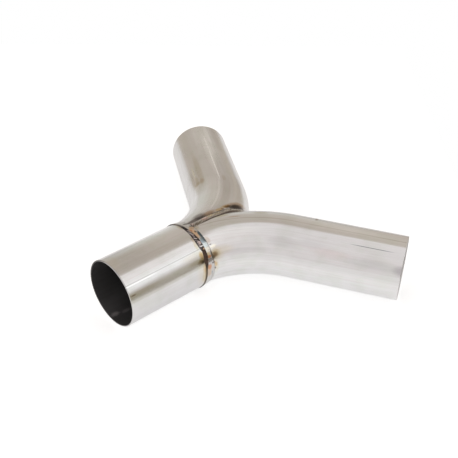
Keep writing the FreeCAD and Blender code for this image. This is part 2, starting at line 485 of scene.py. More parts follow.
# %% [markdown]
# Each tube was rolled from strip and welded along its length. That long seam is ground flush, so it
# needs no ridge in the mesh: it shows as a thin line, darker or brighter than the steel beside it,
# and matt where the grinding went deeper. Scratches along a tube are made the same way, and so is a
# painted reflection on the sleeve: a short white band beside its seam, where the softbox's edge is
# mirrored. A white line is painted over the steel, and any other colour is a film that dims it.

# %% Long seams
SEAM_END_SOFT = 8 * MM
# How many half widths from its middle a seam starts to show, and where it is full.
SEAM_EDGE = (1.4, 0.5)
SCRATCHED = (0.30, 0.32, 0.34)
# A seam is its angle, start, stop, half width in degrees, colour, strength and share of matt.
sleeve_seams_and_reflection = [
    (136.2, -20, 100, 0.55, (0.66, 0.63, 0.62), 0.75, 0.0),
    # Painted reflection: a short white band beside the seam, where the softbox's edge is mirrored.
    (138.4, -20, 32, 1.2, WHITE, 0.8, 0.0),
    (128.5, -20, 60, 0.5, (0.92, 0.86, 0.86), 0.6, 0.0),
]
right_seams = [
    (86.5, 20, 240, 0.9, (0.84, 0.82, 0.80), 0.9, 0.0),
    (60.1, 182, 216, 0.55, SCRATCHED, 1.0, 0.0),
]
left_seams = [
    (91.4, 112, 200, 1.35, WHITE, 1.0, 0.22),
    (89.3, 50, 110, 1.8, WHITE, 0.35, 0.22),
]


def long_seam(recipe, colour, rough, place, seam):
    """Colour and roughness with one thin line: close to its angle, times a window along it."""
    along, around, _ = place
    turn, start, stop, half_width, shade, strength, matt = seam
    line = abs(around - turn).rise(*[half_width * edge for edge in SEAM_EDGE])
    line = line * along.band(start * MM, stop * MM, SEAM_END_SOFT) * strength
    lay = recipe.mix if shade == WHITE else recipe.tint
    return lay(line, colour, shade), line * matt + rough if matt else rough


print("long seams and scratches:", len(sleeve_seams_and_reflection + right_seams + left_seams))

# %% [markdown]
# Heat and handling leave marks. Near a weld the steel takes thin oxide films, straw to brown, and
# soot, and a few spots of spatter. They could be painted by hand on an unwrapped tube, but soft
# ovals are easier to move and need no picture. Each multiplies the steel's colour by a film. It is
# placed by along and around the tube, by x and the angle round the collar, or by x and y in the
# valley between the branches. All were chosen one by one, and a fine noise frays their edges.

# %% Films and ovals
# Some films below are painted reflections: darker or coloured bands that stand in for what the
# steel mirrors. Comments in the lists say which.
FILM_CHAR = (0.10, 0.085, 0.07)
FILM_DARK = (0.22, 0.185, 0.175)
FILM_BROWN = (0.42, 0.31, 0.22)
FILM_TAN = (0.70, 0.56, 0.43)
FILM_GOLD = (0.86, 0.66, 0.38)
FILM_OLIVE_AND_REFLECTION = (0.70, 0.63, 0.46)
FILM_STRAW = (0.93, 0.86, 0.70)
FILM_GREY_AND_DARK_REFLECTION = (0.80, 0.79, 0.80)
FILM_DULL_AND_DARK_REFLECTION = (0.78, 0.76, 0.70)
FILM_ROSE = (0.97, 0.90, 0.89)
FILM_DIM = (0.66, 0.64, 0.66)
RUBBED = (1.14, 1.15, 1.16)
CREAMY = (1.22, 1.20, 1.08)
FILM_RIM = (1.3, 0.4)
OUT_OF_REACH = 500.0


def lay_ovals(lay, rim, colour, pair, fray, marks):
    """Lays soft ovals on a colour. A mark is its film, centre, size, strength and fray.

    How far out a point lies is the root of both squared distances from the centre, each in the
    oval's own size, plus the fray. Across the rim the mark rises softly to its strength.
    """
    for film, centre, size, strength, frayed in marks:
        first, second = [(part - middle) / half for part, middle, half in zip(pair, centre, size)]
        reach = (first * first + second * second).root()
        if frayed:
            reach = reach + fray * frayed
        colour = lay(reach.rise(*rim) * strength, colour, film)
    return colour


def collar_pair(recipe):
    """x in millimetres and the angle round the collar in degrees, from 0 to 360."""
    x, y, z = recipe.apart(recipe.point())
    return x / MM, recipe.angle(z, y).full_turn()


def valley_pair(recipe):
    """x and y in millimetres on the top. The underside's y is moved out of every mark's reach."""
    x, y, z = recipe.apart(recipe.point())
    return x / MM, y / MM + z.less(0.0) * OUT_OF_REACH


print("a mark starts", FILM_RIM[0], "sizes from its centre and is full at", FILM_RIM[1])

# %% [markdown]
# Now the tube's steel is put together layer by layer: bare steel, long seams, marks, and then the
# bore and the cut end. The bore is near black and matt, so it isn't a metal there: a polished bore
# would mirror its own dark inside as jagged lines. The dark fades just before a leg's open end, and
# the cut end itself is sanded. Each of these could be a material of its own on its own faces, but
# one material with masks by place needs no face picked out by hand.

# %% Steel of a tube
BORE_BLACK = (0.040, 0.039, 0.039)
BORE_PALER = (0.075, 0.073, 0.074)
SANDED = (0.92, 0.91, 0.91)
BORE_CLOUD_SHARE, BORE_STREAK_SHARE = 0.5, 0.2
CLOUD_ROUGHNESS, STREAK_ROUGHNESS = 0.04, 0.05
BORE_ROUGHNESS, SANDED_ROUGHNESS = 0.45, 0.45
FRAY_PER_METRE = 700.0
LEG_FINISH = BRANCH_LENGTH - 1 * MM
BORE_DARK_FADE = 10 * MM
SANDED_DEPTH = 2 * MM
BORE_RIM = (0.65 * MM, 0.35 * MM)
SANDED_RIM = (1.4 * MM, 1.1 * MM)


def make_steel(name, placing, bore_radius, roughness, seams, marks):
    """Bright tube steel with clouds, long seams, marks, a near-black bore and sanded cut ends.

    Placing finds where a point lies on its tube. Marks are listed by what places them: the tube,
    the collar, the valley or the bore. The bore and the sanded end are soft steps of the radius,
    from one to the other number of their rim outside the bore, times soft steps along the tube.
    """
    material = bpy.data.materials.new(name)
    recipe = Recipe(material)
    place = placing(recipe)
    along, around, radius = place
    colour, cloud, broad = bare_steel(recipe, place)
    rough = cloud * CLOUD_ROUGHNESS + broad * STREAK_ROUGHNESS + roughness
    for seam in seams:
        colour, rough = long_seam(recipe, colour, rough, place, seam)
    fray = recipe.fray(FRAY_PER_METRE)
    tube_pair = (along / MM, around)
    colour = lay_ovals(recipe.tint, FILM_RIM, colour, tube_pair, fray, marks["tube"])
    colour = lay_ovals(recipe.tint, FILM_RIM, colour, collar_pair(recipe), fray, marks["collar"])
    if "valley" in marks:
        pair = valley_pair(recipe)
        colour = lay_ovals(recipe.tint, FILM_RIM, colour, pair, fray, marks["valley"])
    # The bore's colour: near black, a little paler in the clouds and streaks.
    bore_mottle = cloud * BORE_CLOUD_SHARE + broad * BORE_STREAK_SHARE
    darkness = recipe.mix(bore_mottle, BORE_BLACK, BORE_PALER)
    if "bore" in marks:
        darkness = lay_ovals(recipe.tint, FILM_RIM, darkness, tube_pair, fray, marks["bore"])
    bore = radius.rise(*[bore_radius + rim for rim in BORE_RIM])
    inside = bore * along.rise(LEG_FINISH, LEG_FINISH - BORE_DARK_FADE)
    colour = recipe.mix(inside, colour, darkness)
    cut = (along.rise(LEG_FINISH - SANDED_DEPTH, LEG_FINISH)
           * radius.rise(*[bore_radius + rim for rim in SANDED_RIM]))
    colour = recipe.mix(cut, colour, SANDED)
    rough = rough + bore * (BORE_ROUGHNESS - roughness) + cut * SANDED_ROUGHNESS
    bsdf = recipe.node("ShaderNodeBsdfPrincipled", None, {
        "Base Color": colour, "Roughness": rough, "Metallic": 1.0 - bore})
    recipe.node("ShaderNodeOutputMaterial", None, (bsdf,))
    print(name, "takes", len(recipe.tree.nodes), "nodes")
    return material


print("soot fades from", round((LEG_FINISH - BORE_DARK_FADE) / MM, 1), "to",
      round(LEG_FINISH / MM, 1), "mm along a branch")

# %% [markdown]
# The sleeve is the brightest tube. Its mouth has a dull cut rim, two painted highlights on the
# floor of its dark bore and a brown stain beside the long seam. Straw, gold and brown gather where
# its other end was welded.
# One noise could scatter such stains at random, but the photograph shows where each one lies.
# One list holds what is placed along and around the sleeve, one the bore's spots, and one the
# heat tints, by the angle round the collar, because they follow the weld.

# %% Marks on the sleeve
# Film, centre and size along in millimetres and around in degrees, strength, fray.
sleeve_marks = [
    (FILM_BROWN, (4.0, 153.6), (3.2, 1.3), 0.75, 0.3),
    (FILM_OLIVE_AND_REFLECTION, (2.0, 154), (34.0, 5), 0.40, 0.1),
    (FILM_GREY_AND_DARK_REFLECTION, (0.0, 98), (50.0, 28), 0.38, 0.0),
    (FILM_GREY_AND_DARK_REFLECTION, (44.0, 196), (150.0, 38), 0.50, 0.0),
    (RUBBED, (70.0, 80), (34.0, 22), 0.55, 0.1),
    (RUBBED, (62.0, 152), (34.0, 6), 0.65, 0.1),
    (FILM_GREY_AND_DARK_REFLECTION, (4.0, 64), (34.0, 14), 0.80, 0.1),
    # Painted reflections: the next two long dark bands darken the mirrored studio, the first at the
    # edge of the dark strip and the second across the top.
    (FILM_DULL_AND_DARK_REFLECTION, (44.0, 163), (90.0, 4.2), 0.75, 0.0),
    (FILM_DULL_AND_DARK_REFLECTION, (24.0, 109), (80.0, 9), 0.25, 0.0),
    (FILM_CHAR, (0.0, 14), (1.1, 66), 1.0, 0.1),
    (FILM_CHAR, (0.0, 352), (1.1, 50), 1.0, 0.1),
    (FILM_DIM, (0.0, 112), (0.9, 48), 0.75, 0.1),
    (RUBBED, (72.0, 64), (34.0, 10), 0.60, 0.1),
    (FILM_GREY_AND_DARK_REFLECTION, (24.0, 212), (60.0, 20), 0.40, 0.0),
    (FILM_STRAW, (84.0, 180), (9.0, 26), 0.45, 0.2),
    (FILM_STRAW, (4.0, 84), (7.0, 22), 0.25, 0.3),
    (FILM_STRAW, (77.0, 143), (15.0, 7), 0.40, 1.0),
]
# Painted highlights: two pale spots on the bore's floor near the mouth, where light from outside is
# mirrored.
PAINTED_BORE_HIGHLIGHT = (4.0, 3.8, 3.8)
sleeve_bore_marks = [
    (PAINTED_BORE_HIGHLIGHT, (6.0, 280), (4.6, 5.0), 0.75, 1.0),
    (PAINTED_BORE_HIGHLIGHT, (17.0, 276), (5.5, 3.4), 0.45, 1.0),
]
sleeve_collar_marks = [
    (FILM_OLIVE_AND_REFLECTION, (78.0, 154), (11.0, 4.5), 0.50, 0.3),
    (FILM_GOLD, (85.0, 147), (2.8, 7), 0.95, 0.9),
    (FILM_TAN, (84.9, 118), (1.9, 6), 0.75, 0.6),
    (FILM_STRAW, (84.2, 129), (2.2, 8), 0.9, 0.6),
    (FILM_OLIVE_AND_REFLECTION, (84.0, 155), (4.2, 5), 0.9, 0.5),
    (FILM_BROWN, (82.6, 157), (5.0, 4.0), 0.65, 0.6),
    (FILM_CHAR, (84.6, 158), (2.4, 3.2), 0.7, 0.6),
    (FILM_GOLD, (85.2, 170), (2.6, 9), 0.6, 0.5),
    (FILM_STRAW, (84.8, 186), (3.4, 16), 0.9, 0.4),
    (FILM_BROWN, (85.9, 186), (0.9, 28), 0.7, 0.4),
    (FILM_GREY_AND_DARK_REFLECTION, (84.5, 66), (2.5, 8), 0.8, 0.6),
    (FILM_OLIVE_AND_REFLECTION, (84.9, 82), (1.5, 10), 0.6, 0.6),
]
print("marks on the sleeve:", len(sleeve_marks + sleeve_bore_marks + sleeve_collar_marks))

# %% [markdown]
# The branches share the heat tints beside the collar, as both were heated by the same weld, so one
# list serves both. Further on each has its own broad stains and rubbed places. The right one has a
# burnt spot on its leg and a painted reflection, a long grey band over its top. Where the left
# one's leg starts, olive bands are a painted reflection of the wall's edge, bent round the tube.
# Rubbed places could be smoother instead of brighter, but on steel this smooth that hardly shows,
# so a rubbed place is a film brighter than 1.

# %% Marks on the branches
branch_collar_marks = [
    (FILM_STRAW, (100.5, 156), (7.5, 14), 0.70, 0.3),
    (FILM_OLIVE_AND_REFLECTION, (100.2, 154.5), (4.6, 8.0), 0.75, 0.6),
    (FILM_BROWN, (99.6, 155.5), (3.2, 4.8), 0.80, 0.6),
    (FILM_CHAR, (98.0, 159), (1.6, 3.2), 0.55, 0.6),
    (FILM_TAN, (99.0, 128), (2.4, 8), 0.50, 1.4),
    (CREAMY, (101.0, 141.5), (3.6, 3.0), 1.0, 1.0),
    (FILM_CHAR, (99.2, 137.2), (1.5, 0.7), 0.9, 0.5),
    (FILM_STRAW, (98.5, 176), (3.6, 13), 0.6, 1.0),
    (FILM_GOLD, (98.6, 172), (1.8, 5), 0.7, 1.2),
    (FILM_DARK, (97.9, 179), (0.8, 2.2), 0.9, 0.4),
    (FILM_TAN, (97.6, 168), (0.8, 2.6), 0.9, 0.4),
    (FILM_OLIVE_AND_REFLECTION, (98.5, 98), (3.0, 6), 0.6, 0.8),
    (FILM_OLIVE_AND_REFLECTION, (101.0, 92.5), (6.5, 3), 0.6, 0.8),
]
right_marks = [
    (RUBBED, (215, 94), (80, 26), 0.85, 0.1),
    (RUBBED, (140, 92), (66, 14), 0.70, 0.1),
    (FILM_BROWN, (139.6, 110), (1.5, 7), 0.95, 0.3),
    (FILM_GREY_AND_DARK_REFLECTION, (112, 41), (20, 10), 0.45, 0.3),
    (FILM_GREY_AND_DARK_REFLECTION, (141, 46), (14, 10), 0.30, 0.4),
    (FILM_GREY_AND_DARK_REFLECTION, (130, 12), (170, 9), 0.28, 0.0),
    (FILM_OLIVE_AND_REFLECTION, (47, 104), (11, 7), 0.85, 0.3),
    (FILM_OLIVE_AND_REFLECTION, (86, 105), (8, 6), 0.50, 0.4),
    (RUBBED, (74, 107), (7, 9), 0.30, 0.3),
    (FILM_GREY_AND_DARK_REFLECTION, (62, 24), (44, 5), 0.45, 0.2),
    (FILM_GREY_AND_DARK_REFLECTION, (203, 31), (34, 10), 0.50, 0.3),
    (FILM_ROSE, (162, 36), (20, 9), 0.60, 0.5),
    (FILM_DIM, (232, 30), (11, 10), 0.75, 0.2),
    # Painted reflection: a long grey band over the top, where the far paper is mirrored darker.
    (FILM_GREY_AND_DARK_REFLECTION, (150, 113), (200, 8), 1.0, 0.1),
    (FILM_STRAW, (36, 30), (16, 9), 0.5, 0.2),
    (FILM_TAN, (60, 93), (7, 2.5), 0.5, 0.4),
]
left_marks = [
    (RUBBED, (72, 72), (46, 24), 0.65, 0.1),
    (RUBBED, (190, 98), (42, 6.5), 0.95, 0.3),
    (RUBBED, (165, 89), (44, 7.5), 1.0, 0.3),
    (RUBBED, (215, 82), (40, 14), 0.7, 0.2),
    (FILM_GREY_AND_DARK_REFLECTION, (112, 105), (52, 15), 0.42, 0.2),
    (FILM_GREY_AND_DARK_REFLECTION, (130, 131), (44, 6), 0.55, 0.2),
    (FILM_GREY_AND_DARK_REFLECTION, (208, 117), (34, 8), 0.50, 0.2),
    (FILM_DULL_AND_DARK_REFLECTION, (88, 104), (34, 9), 0.40, 0.2),
    (RUBBED, (212, 101), (26, 5), 0.65, 0.2),
    (RUBBED, (99, 41), (20, 7), 0.70, 0.2),
    # Painted reflection: the olive marks of the next five lines stand in for the wall's edge,
    # mirrored where the leg starts.
    (FILM_OLIVE_AND_REFLECTION, (116.0, 46), (4.4, 7.5), 0.60, 0.2),
    (FILM_OLIVE_AND_REFLECTION, (123.0, 47), (8.0, 4.5), 0.45, 0.2),
    (FILM_TAN, (116.5, 57), (6.0, 5.5), 0.50, 0.2),
    (FILM_OLIVE_AND_REFLECTION, (140, 57), (34, 7), 0.35, 0.2),
    (FILM_OLIVE_AND_REFLECTION, (128, 38), (16, 4), 0.30, 0.2),
    (CREAMY, (139, 44.5), (15, 2.6), 0.70, 0.3),
    (FILM_OLIVE_AND_REFLECTION, (112, 100), (6, 4), 0.3, 0.3),
]
print("marks on the branches:", len(branch_collar_marks + right_marks + left_marks))

# %% [markdown]
# Beside the seam weld the left branch is scorched: char next to the bead, then brown and tan with
# golden edges, ending in a dark tongue near the crotch. The right branch's side stayed clean. The
# ovals could be placed along and around the tube as before, but here x and y are easier to read
# off, because the scorch follows the valley and not the tube.

# %% Scorch in the valley
scorch_marks = [
    (FILM_GREY_AND_DARK_REFLECTION, (128, 7.5), (34, 5.0), 0.45, 0.5),
    (FILM_DARK, (113, 8.8), (8.0, 4.6), 0.65, 0.4),
    (FILM_DARK, (105, 6.2), (14.0, 2.8), 0.90, 0.5),
    (FILM_CHAR, (113, 4.6), (7.0, 1.6), 0.65, 0.4),
    (FILM_TAN, (124, 6.6), (9, 3.6), 0.95, 0.7),
    (FILM_BROWN, (122, 5.4), (9, 1.8), 0.5, 0.9),
    (FILM_GOLD, (136.5, 5.8), (5.5, 2.2), 0.9, 1.0),
    (FILM_GOLD, (147.0, 7.2), (7.0, 2.0), 0.9, 1.2),
    (FILM_BROWN, (141.5, 5.4), (2.2, 1.2), 0.8, 1.2),
    (FILM_TAN, (161, 7.6), (14, 2.8), 0.85, 0.8),
    (FILM_BROWN, (148, 6.4), (4.6, 1.9), 0.9, 0.7),
    (FILM_DARK, (159.5, 5.0), (12.0, 3.2), 0.90, 0.8),
    (FILM_CHAR, (157.0, 4.9), (9.5, 2.4), 0.75, 0.9),
    (FILM_DARK, (132, 3.9), (18, 0.7), 0.9, 0.6),
]
print("scorch marks:", len(scorch_marks))

# %% [markdown]
# The three tubes get their steel. They could share one material, but each carries its own marks,
# and the left branch is a little duller than the others. The material goes into the slots that
# the CAD model's mesh already has, so the mesh isn't touched.

# %% Dressing the tubes
SLEEVE_BORE_RADIUS = mounts["inlet"]["dims"]["r_mm"] * MM
TUBE_WALL = 1.5 * MM
tube_bore = TUBE_RADIUS - TUBE_WALL
SLEEVE_ROUGHNESS, RIGHT_ROUGHNESS, LEFT_ROUGHNESS = 0.13, 0.14, 0.21

steel_sleeve = make_steel(
    "sleeve_steel", on_sleeve, SLEEVE_BORE_RADIUS, SLEEVE_ROUGHNESS, sleeve_seams_and_reflection,
    {"tube": sleeve_marks, "collar": sleeve_collar_marks, "bore": sleeve_bore_marks})
steel_right = make_steel(
    "right_branch_steel", on_branch, tube_bore, RIGHT_ROUGHNESS, right_seams,
    {"tube": right_marks, "collar": branch_collar_marks})
steel_left = make_steel(
    "left_branch_steel", on_branch, tube_bore, LEFT_ROUGHNESS, left_seams,
    {"tube": left_marks, "collar": branch_collar_marks, "valley": scorch_marks})


def finish_node(node, material):
    """Gives a CAD node's material slots this material."""
    tube = frame["nodes"][node]
    if not tube.material_slots:
        tube.data.materials.append(material)
    for place in tube.material_slots:
        place.material = material
    print(node, "wears", material.name)


finish_node("inlet_sleeve", steel_sleeve)
finish_node("right_branch", steel_right)
finish_node("left_branch", steel_left)

# %% [markdown]
# A weld bead sits on the tubes, so it has to know where their joined skin is. Projecting a
# finished mesh on the tubes with a modifier would blur its ripples. There is no short formula for
# the distance to the skin of two crossing bends either, so it is found by halving an interval:
# each time, a test tells which side of the skin the middle lies on, for a whole grid at once.

# %% The joined skin of the two branches
SLEEVE_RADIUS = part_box("inlet_sleeve")[1].y
SLEEVE_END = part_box("inlet_sleeve")[1].x
WASH_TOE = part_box("collar_wash_weld")[1].x
HALVINGS = 50


def inside_bends(points):
    """Which points lie inside the two bends: nearer to a centre circle than the tube's radius."""
    from_pivot = np.hypot(points[..., 0] - BEND_START, BEND_RADIUS - np.abs(points[..., 1]))
    return np.hypot(from_pivot - BEND_RADIUS, points[..., 2]) < TUBE_RADIUS


def way_to_skin(starts, ways):
    """Distance from each start, along its way, to the skin, by halving the span it lies in."""
    near = np.zeros(starts.shape[:-1])
    far = near + 2 * TUBE_RADIUS
    for _ in range(HALVINGS):
        middle = (near + far) / 2
        inside = inside_bends(starts + ways * middle[..., None])
        near = np.where(inside, middle, near)
        far = np.where(inside, far, middle)
    return near


def around_axis(x, radius, turn):
    """Points at a distance from the x axis: its cosine part to +y and its sine part up."""
    x, radius, turn = np.broadcast_arrays(x, radius, turn)
    return np.stack([x, radius * np.cos(turn), radius * np.sin(turn)], axis=-1)


def skin_radius(x, turn):
    """Distance from the x axis to the branches' joined skin."""
    x, turn = np.broadcast_arrays(x, turn)
    return way_to_skin(around_axis(x, 0.0, turn), around_axis(0.0, 1.0, turn))


skin_at_toe = skin_radius(WASH_TOE, np.array([0.0, math.pi / 2])) / MM
print("at the collar's toe the skin lies", skin_at_toe.round(2), "mm out, at the side and on top")

# %% [markdown]
# Each weld is a grid of points: one parameter runs along the weld, the other round its section,
# out over the back and home under the foot. Sweeping a section along a curve would do for a
# plain bead, but here the section changes at every step. A UV map keeps both parameters, so
# that the material knows where along its weld and where across it a point lies.


# %% A mesh from a grid of points
def grid_piece(name, points, closed_along, material):
    """Mesh of a grid of points, closed round its section, with a UV map of along and around.

    A face joins a point to the next one along, the one diagonal to it and the next one round.
    A weld that isn't closed along gets one more face at each end.
    """
    rows, columns = points.shape[:2]
    spans = rows if closed_along else rows - 1
    row, column = np.mgrid[:spans, :columns]
    steps = [(0, 0), (1, 0), (1, 1), (0, 1)]
    quads = np.stack([(row + ahead) % rows * columns + (column + aside) % columns
                      for ahead, aside in steps], axis=-1).reshape(-1, 4)
    uv = np.stack([((row + ahead) / spans, (column + aside) / columns)
                   for ahead, aside in steps], axis=-1)
    faces = quads.tolist()
    if not closed_along:
        last = (rows - 1) * columns
        faces += [list(range(columns))[::-1], list(range(last, last + columns))]
    mesh = bpy.data.meshes.new(name)
    mesh.from_pydata(points.reshape(-1, 3).tolist(), [], faces)
    loops = np.zeros((len(mesh.loops), 2))
    loops[:quads.size] = uv.reshape(2, -1).T
    mesh.uv_layers.new(name="weld").data.foreach_set("uv", loops.reshape(-1))
    mesh.polygons.foreach_set("use_smooth", np.ones(len(mesh.polygons), bool))
    mesh.update()
    piece = bpy.data.objects.new(name, mesh)
    bpy.context.scene.collection.objects.link(piece)
    mesh.materials.append(material)
    print(name, "has", len(mesh.vertices), "points and", len(mesh.polygons), "faces")
    return piece


SECTION_BACK = 18
SECTION_FOOT = 4
BACK_PART = SECTION_BACK / (SECTION_BACK + SECTION_FOOT)


def section_shares():
    """Shares across a weld's section: out along its back and home along its foot."""
    back = np.linspace(0, 1, SECTION_BACK, endpoint=False)
    foot = np.linspace(1, 0, SECTION_FOOT, endpoint=False)
    return back, foot


def stations_round(count):
    """Angles of evenly spaced sections round the collar, as a column."""
    return np.linspace(0, 2 * np.pi, count, endpoint=False)[:, None]


def arch(share):
    """Low arch over a section: four times the share times what is left of it, 1 in the middle."""
    return 4 * share * (1 - share)


print("a weld's section has", SECTION_BACK, "points on its back and", SECTION_FOOT, "on its foot")

# %% [markdown]
# Weld metal that cooled in air wears an oxide film, whose colour runs from straw through orange
# and purple to blue as the heat goes up, and black where it burnt. One ramp of these colours by
# heat would be simple, but the real heat came and went with every dab. So each weld is bare metal
# painted over with soft ovals of such oxides, in the places where the photograph shows them. A
# fine grit in a Bump node roughens the metal, too small to be worth any geometry.

# %% Weld metal
BARE_WELD = (0.64, 0.625, 0.61)
SILVER = (0.82, 0.79, 0.78)
ROSE_SILVER = (0.66, 0.53, 0.50)
BLACK_OXIDE = (0.035, 0.030, 0.030)
BROWN_OXIDE = (0.085, 0.058, 0.045)
OLIVE_OXIDE = (0.15, 0.125, 0.085)
GREY_OXIDE = (0.34, 0.31, 0.29)
DULL_WELD = (0.46, 0.43, 0.39)
TEAL_OXIDE = (0.085, 0.135, 0.165)
BLUE_OXIDE = (0.30, 0.38, 0.43)
PALE_BLUE = (0.68, 0.75, 0.76)
CREAM = (0.84, 0.81, 0.71)
STRAW = (0.78, 0.64, 0.40)
TAN = (0.62, 0.44, 0.29)
LIGHT_TAN = (0.84, 0.60, 0.41)
ORANGE = (0.62, 0.29, 0.14)
ROSE = (0.50, 0.34, 0.30)
PALE_ROSE = (0.85, 0.64, 0.58)
OLD_GOLD = (0.42, 0.34, 0.21)
PAINT_RIM = (1.25, 0.6)
GRIT_PER_METRE = 1500.0
GRIT_DEPTH = 0.2 * MM
GRIT_STRENGTH = 0.3


def weld_material(name, build):
    """Material of a weld. Build gives its colour and roughness from u and the share of its back."""
    material = bpy.data.materials.new(name)
    recipe = Recipe(material)
    u, v, _ = recipe.apart(recipe.node("ShaderNodeUVMap", {"uv_map": "weld"}))
    colour, roughness = build(recipe, u, v / BACK_PART)
    grit = recipe.noise(recipe.point(), GRIT_PER_METRE, detail=2.0)
    bump = recipe.node("ShaderNodeBump", None, {
        "Strength": GRIT_STRENGTH, "Distance": GRIT_DEPTH, "Height": grit})
    bsdf = recipe.node("ShaderNodeBsdfPrincipled", None, {
        "Base Color": colour, "Roughness": roughness, "Metallic": 1.0, "Normal": bump})
    recipe.node("ShaderNodeOutputMaterial", None, (bsdf,))
    print(name, "takes", len(recipe.tree.nodes), "nodes")
    return material


print("a grain of grit is about", round(1 / GRIT_PER_METRE / MM, 1), "mm wide")

# %% [markdown]
# The first pass of the collar weld was made without ripples and melted the sleeve's edge down
# onto the branches. It is a nearly straight slope with a low arch. A plain cone would leave gaps,
# because the skin under its toe isn't round, so every section ends on the skin found above. Its
# colours change round the collar: tan on the top, blue over the steep side, then cream, straw
# and orange further down.

# %% Colours of the smooth pass
wash_marks = [
    (LIGHT_TAN, (91.2, 108), (3.6, 13), 0.95, 0.5),
    (TAN, (94.2, 95), (3.2, 4.5), 0.85, 0.5),
    (ORANGE, (90.4, 101), (1.4, 3), 0.7, 0.6),
    (BROWN_OXIDE, (95.6, 90), (2.4, 3), 0.75, 0.5),
    (BROWN_OXIDE, (94.5, 80), (4.5, 3), 0.8, 0.5),
    (OLIVE_OXIDE, (93.4, 106), (1.2, 2.2), 0.9, 0.8),
    (BLUE_OXIDE, (94.2, 126), (3.4, 7.0), 0.95, 0.5),
    (TEAL_OXIDE, (96.0, 113), (2.3, 7), 1.0, 0.5),
    (TEAL_OXIDE, (96.4, 121), (2.0, 9), 0.75, 0.4),
    (PALE_BLUE, (94.2, 134.5), (3.2, 5.4), 0.95, 0.5),
    (CREAM, (93.4, 143), (4.5, 5), 0.9, 0.4),
    (STRAW, (92.5, 149.5), (2.6, 3), 0.85, 0.4),
    (ORANGE, (92.3, 154.3), (3.4, 2.6), 0.95, 0.5),
    (GREY_OXIDE, (92.5, 160.5), (4.0, 3.6), 0.9, 0.5),
    (OLIVE_OXIDE, (96.7, 155), (1.5, 10), 0.95, 0.5),
    (BROWN_OXIDE, (95.8, 167), (1.8, 1.3), 0.85, 0.5),
    (TAN, (90.0, 180), (2.8, 11), 0.6, 1.0),
    (ORANGE, (90.5, 171), (2.6, 5.2), 0.8, 1.2),
    (BLUE_OXIDE, (93.6, 184), (1.1, 3), 0.5, 0.4),
    (GREY_OXIDE, (94.5, 196), (0.8, 12), 0.5, 0.5),
    (TAN, (93.0, 232), (3.5, 14), 0.5, 0.5),
    (BLUE_OXIDE, (94.5, 268), (3.0, 16), 0.7, 0.5),
    (STRAW, (93.0, 300), (4.0, 12), 0.6, 0.5),
    (TAN, (92.5, 335), (3.5, 13), 0.7, 0.5),
    (BLUE_OXIDE, (95.0, 12), (2.5, 10), 0.6, 0.5),
    (STRAW, (92.5, 38), (3.0, 12), 0.5, 0.5),
]
WASH_ROUGHNESS = 0.24
WASH_LINES = 640.0
LINES_STEP, LINES_STRENGTH = (0.50, 0.70), 0.45
TOE_STEP, TOE_TURNS = (0.93, 0.99), (100, 166, 6)
COLLAR_FRAY_PER_METRE = 600.0


def wash_finish(recipe, u, share):
    """Oxides by place, then faint lines across the pass, then a dark line along its toe."""
    fray = recipe.fray(COLLAR_FRAY_PER_METRE)
    pair = collar_pair(recipe)
    colour = lay_ovals(recipe.mix, PAINT_RIM, BARE_WELD, pair, fray, wash_marks)
    lines = recipe.noise(recipe.together(u * WASH_LINES, share * 2.0, 0.0), 1.0, detail=2.0)
    colour = recipe.mix(lines.rise(*LINES_STEP) * LINES_STRENGTH, colour, GREY_OXIDE)
    toe_line = share.rise(*TOE_STEP) * (fray * 2.0 + 0.5) * pair[1].band(*TOE_TURNS)
    return recipe.mix(toe_line, colour, BROWN_OXIDE), WASH_ROUGHNESS


print("marks on the smooth pass:", len(wash_marks))

# %% Collar weld, smooth pass
WASH_CROWN = 0.42 * MM
WASH_STATIONS = 720


def wash_back(turn, share):
    """Back of the smooth pass: a straight slope from the sleeve's edge to its toe, plus an arch."""
    x = SLEEVE_END + (WASH_TOE - SLEEVE_END) * share
    slope = SLEEVE_RADIUS + (skin_radius(WASH_TOE, turn) - SLEEVE_RADIUS) * share
    return x, slope + WASH_CROWN * arch(share)


def wash_points():
    """Sections round the collar: each runs out over the back and home along the skin below."""
    back, foot = section_shares()
    turns = stations_round(WASH_STATIONS)
    top = around_axis(*wash_back(turns, back), turns)
    foot_x = SLEEVE_END + (WASH_TOE - SLEEVE_END) * foot
    under = around_axis(foot_x, skin_radius(foot_x, turns), turns)
    return np.concatenate([top, under], axis=1)


wash_weld = grid_piece("collar_wash_bead", wash_points(), True,
                       weld_material("wash_weld", wash_finish))
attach(wash_weld, "root")
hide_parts("collar_wash_weld")

# %% [markdown]
# A weld laid in dabs has ripples: round humps with sharp valleys between, slanted as the torch
# was held, and bent forwards in the middle, where the metal froze last. A bump in the material
# could draw them, but they are large enough to show in the outline, so they are in the mesh. A
# signal does arithmetic as an array does, so one formula serves the mesh and also tells the
# material where within its ripple a point lies.

# %% Ripples of a weld
RIPPLE_PITCH = 2.6 * MM
RIPPLE_HEIGHT = 0.34 * MM
RIPPLE_LEAD = 0.7 * MM
RIPPLE_SLANT = 0.9
# Slow waves that crowd the ripples by turns: how many to the weld, how deep, and where they start.
RIPPLE_WAVES = [(9, 0.45, 0.0), (22, 0.30, 1.0)]


def ripple_step(sine, u, count, share, width):
    """Ripples passed at a share of a weld's length, for arrays or signals and their sine.

    It is the count times that share, plus two slow waves, less the slant across the width and
    less the lead of the middle, both in ripples.
    """
    step = u * count
    for number, depth, start in RIPPLE_WAVES:
        step = step + depth * sine(2 * math.pi * number * u + start)
    lead = RIPPLE_SLANT * width * (share - 0.5) + RIPPLE_LEAD * arch(share)
    return step - lead / RIPPLE_PITCH


def ripple_share(u, count, share, width):
    """Where a point lies within its ripple, from 0 in the valley behind to 1 in the next one."""
    step = ripple_step(Signal.sine, u, count, share, width)
    return step.recipe.math("FRACT", step)


def scallops(step):
    """Humps from 0 to 1, one for each whole step: the root of the size of a sine."""
    return np.sqrt(np.abs(np.sin(np.pi * step)))


